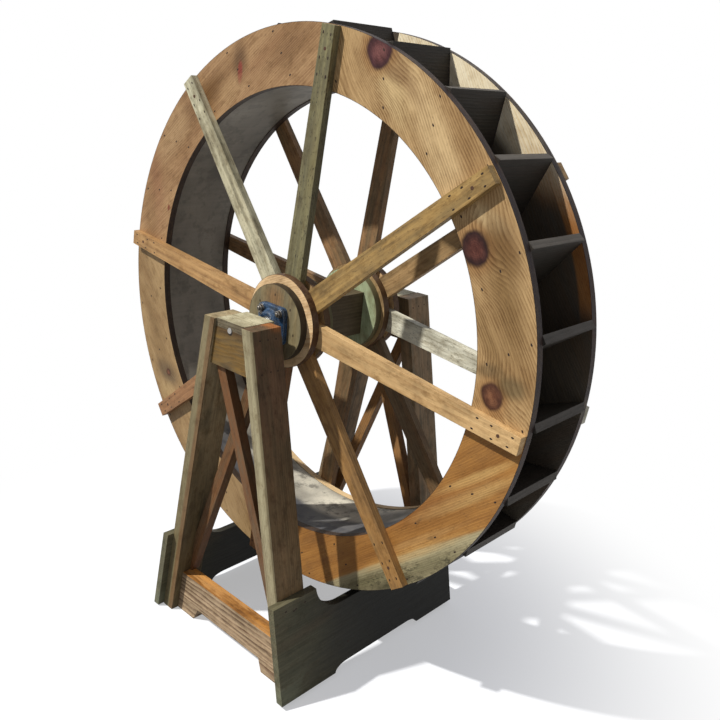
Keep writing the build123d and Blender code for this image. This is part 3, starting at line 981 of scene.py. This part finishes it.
# Nails through the legs into the blocks, and through the base boards into the legs: place along the shaft,
# height from the axle.
LEG_OUTER = BLOCK_END + LEG_WIDTH * math.hypot(1, LEG_LEAN)
BASE_OUTER = LEG_OUTER + BASE_BOARD * math.hypot(1, LEG_LEAN)
LEG_NAILS = (
    (-0.023, -0.0005), (0.001, -0.002), (0.025, -0.0035),
    (-0.026, -0.0775), (0.001, -0.076), (0.0225, -0.0775),
)
BASE_NAILS = (
    (-0.2513, -0.6392), (-0.2817, -0.6444), (-0.2884, -0.6466), (-0.3133, -0.6386), (-0.1171, -0.8015),
)
for side_name, side in SIDES.items():
    low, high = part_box(f"{side_name}_leg_left")
    middle = (low.y + high.y) / 2
    nails = bmesh.new()
    for hand in HANDS.values():
        for across, up in LEG_NAILS:
            spot = Vector((hand * (LEG_OUTER - LEG_LEAN * up), middle - side * across, AXLE.z + up))
            oval(nails, spot, (hand, 0, LEG_LEAN), (0, 1, 0), NAIL_WIDE, NAIL_WIDE)
    piece(f"{side_name}_leg_nails", nails, "stand", nail_rust)
low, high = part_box("base_board_left")
middle = (low.y + high.y) / 2
nails = bmesh.new()
for side in SIDES.values():
    for hand in HANDS.values():
        for along, up in BASE_NAILS:
            reach = middle + side * (middle - AXLE.y - along)
            spot = Vector((hand * (BASE_OUTER - LEG_LEAN * up), reach, AXLE.z + up))
            oval(nails, spot, (hand, 0, LEG_LEAN), (0, 1, 0), NAIL_LONG, NAIL_WIDE)
piece("base_board_nails", nails, "stand", nail_rust)

# Flange bearing: plate, domed housing, race and collar, in one closed skin round the shaft's bore. The plate
# has loops of (inset, height), and the housing of (radius, height).
BEARING_TURN = 1.2
PLATE_HALF = 0.047
PLATE_CORNER = 0.014
LOOP_POINTS = 72
PLATE_LOOPS = ((0.0, 0.0), (0.0, 0.0108), (0.0009, 0.0123), (0.0026, 0.013))
HOUSING_LOOPS = (
    (0.0385, 0.013), (0.0362, 0.0142), (0.035, 0.0165), (0.0335, 0.021), (0.0312, 0.0252), (0.0285, 0.0268),
    (0.0262, 0.027), (0.0222, 0.0266), (0.0208, 0.0258), (0.0204, 0.0244), (0.0198, 0.0244), (0.0192, 0.0262),
    (0.0166, 0.0264), (0.0162, 0.027), (0.01605, 0.0352), (0.0153, 0.036), (0.0104, 0.036), (0.00956, 0.0354),
    (0.00956, 0.0),
)


def square_reach(angle, half, corner):
    """Distance from the middle of a round-cornered square to its edge, in one direction."""
    across, up = abs(math.cos(angle)), abs(math.sin(angle))
    across, up = max(across, up), min(across, up)
    straight = half / across
    inner = half - corner
    if straight * up <= inner:
        return straight
    middle = inner * (across + up)
    return middle + math.sqrt(middle * middle - 2 * inner * inner + corner * corner)


def bearing_skin(mesh, centre, side):
    """Add the bearing's closed skin, its plate on the wheel's hub and its collar outward."""
    twist = math.radians(BEARING_TURN)
    loops = [("plate", inset, height) for inset, height in PLATE_LOOPS]
    loops += [("round", radius, height) for radius, height in HOUSING_LOOPS]
    rings = []
    for kind, size, height in loops:
        ring = []
        for step in range(LOOP_POINTS):
            angle = math.tau * step / LOOP_POINTS
            turn = angle - twist
            reach = size
            if kind == "plate":
                reach = square_reach(angle, PLATE_HALF - size, PLATE_CORNER - size)
            offset = Vector((math.cos(turn) * reach, side * height, math.sin(turn) * reach))
            ring.append(mesh.verts.new(centre + offset))
        rings.append(ring)
    skin(mesh, rings, capped=False)
    bmesh.ops.recalc_face_normals(mesh, faces=mesh.faces)


# Each bolt's pad, which is part of the casting, then washer, nut and thread: sides, (radius, height) pairs.
PAD = (24, ((0.0122, -0.003), (0.0122, 0.0008), (0.0114, 0.0014)))
BOLT = (
    (20, ((0.0096, 0.0012), (0.0096, 0.0028), (0.009, 0.0032))),
    (6, ((0.0088, 0.003), (0.0088, 0.009), (0.0078, 0.01))),
    (14, ((0.0046, 0.0095), (0.0046, 0.0125), (0.0036, 0.0135))),
)
BOLT_REACH = 0.033
FLANGE = 0.013
NIPPLE = ((0.0042, 0.0), (0.0042, 0.0045), (0.0026, 0.005), (0.0026, 0.0085), (0.0014, 0.0105))
NIPPLE_REACH = 0.0215
for side_name, side in SIDES.items():
    low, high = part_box(f"{side_name}_bearing")
    seat = high.y if side < 0 else low.y
    housing_skin, bolts = bmesh.new(), bmesh.new()
    bearing_skin(housing_skin, Vector((AXLE.x, seat, AXLE.z)), side)
    for right in (-1, 1):
        for up in (-1, 1):
            reach = Vector((right * BOLT_REACH, 0, up * BOLT_REACH))
            centre = AXLE + Matrix.Rotation(math.radians(BEARING_TURN), 3, "Y") @ reach
            centre.y = seat + side * FLANGE
            turned(housing_skin, centre, (0, side, 0), PAD[1], PAD[0])
            for sides, profile in BOLT:
                turned(bolts, centre, (0, side, 0), profile, sides, 0.4 * right)
    root = Vector((AXLE.x - NIPPLE_REACH, seat + side * NIPPLE_REACH, AXLE.z + NIPPLE_REACH))
    turned(bolts, root, (-0.7, side * 0.75, 0.7), NIPPLE)
    housing = piece(f"{side_name}_bearing_housing", housing_skin, "wheel", blue)
    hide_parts(f"{side_name}_bearing")
    piece(f"{side_name}_bearing_bolts", bolts, "wheel", bolt_steel)


def aim(camera, azimuth, elevation, roll):
    """Point the camera at the object from an azimuth and elevation, then roll it."""
    a, e, r = (math.radians(value) for value in (azimuth, elevation, roll))
    right = Vector((math.cos(a), math.sin(a), 0))
    back = Vector((math.sin(a) * math.cos(e), -math.cos(a) * math.cos(e), math.sin(e)))
    up = back.cross(right)
    right, up = math.cos(r) * right + math.sin(r) * up, math.cos(r) * up - math.sin(r) * right
    camera.rotation_euler = Matrix((right, up, back)).transposed().to_euler()


# Camera, as the photograph was taken.
lens = bpy.data.cameras.new("camera")
lens.sensor_width = 36.0
lens.lens = 41.09
lens.shift_x = 0.0229
lens.shift_y = -0.0296
lens.clip_start = 0.05
camera = bpy.data.objects.new("camera", lens)
camera.location = (1.4506, -1.4528, 1.4488)
aim(camera, 43.16, 17.24, 3.83)
bpy.context.scene.collection.objects.link(camera)
bpy.context.scene.camera = camera

# Light: one soft sun from the upper left in front, and an even pale sky.
sun_data = bpy.data.lights.new("sun", "SUN")
sun_data.energy = 4.15
sun_data.angle = math.radians(1.6)
sun = bpy.data.objects.new("sun", sun_data)
sun.rotation_euler = Vector((-0.349, -0.545, 0.763)).to_track_quat("Z", "Y").to_euler()
bpy.context.scene.collection.objects.link(sun)

WHITE = (1.0, 1.0, 1.0, 1.0)
SKY_LIGHT = 0.33
SKY_TINT = (0.91, 0.97, 1.17, 1.0)
world = bpy.data.worlds.new("sky")
bpy.context.scene.world = world
world.use_nodes = True
sky = Nodes(world.node_tree)
seen = sky.seen()
level = sky.add("ShaderNodeMapRange", {"Value": seen, "To Min": SKY_LIGHT, "To Max": 1.0}).outputs[0]
background = sky.add("ShaderNodeBackground", {"Color": sky.mix(seen, SKY_TINT, WHITE), "Strength": level})
sky.add("ShaderNodeOutputWorld", {"Surface": background.outputs[0]})

# Pale floor that keeps the shadow near the object and turns to plain white further out.
FLOOR_RADIUS = 14.0
FLOOR_SHOWN = (0.9, 0.9, 0.9, 1.0)
FLOOR_LIGHT = (0.28, 0.28, 0.28, 1.0)
FLOOR_FADE = (0.4, 1.3)
NEAR_WHITE = 0.4
floor_mesh = bmesh.new()
bmesh.ops.create_circle(floor_mesh, cap_ends=True, radius=FLOOR_RADIUS, segments=96)
floor_data = bpy.data.meshes.new("floor")
floor_mesh.to_mesh(floor_data)
floor_mesh.free()
floor = bpy.data.objects.new("floor", floor_data)
bpy.context.scene.collection.objects.link(floor)
tree = Tree("floor_pale")
seen = tree.seen()
plain = tree.add("ShaderNodeBsdfDiffuse", {"Color": tree.mix(seen, FLOOR_LIGHT, FLOOR_SHOWN)})
white = tree.add("ShaderNodeEmission", {"Color": WHITE, "Strength": 1.0})
out = tree.length(tree.vector("MULTIPLY", tree.place, (1.0, 1.0, 0.0)))
far = tree.scale(tree.smooth(out, *FLOOR_FADE), 1.0 - NEAR_WHITE, NEAR_WHITE)
factor = tree.times(far, seen)
both = tree.add("ShaderNodeMixShader", {0: factor, 1: plain.outputs[0], 2: white.outputs[0]})
tree.add("ShaderNodeOutputMaterial", {"Surface": both.outputs[0]})
floor_data.materials.append(tree.material)

bpy.context.scene.view_settings.view_transform = "Standard"

bpy.context.view_layer.update()
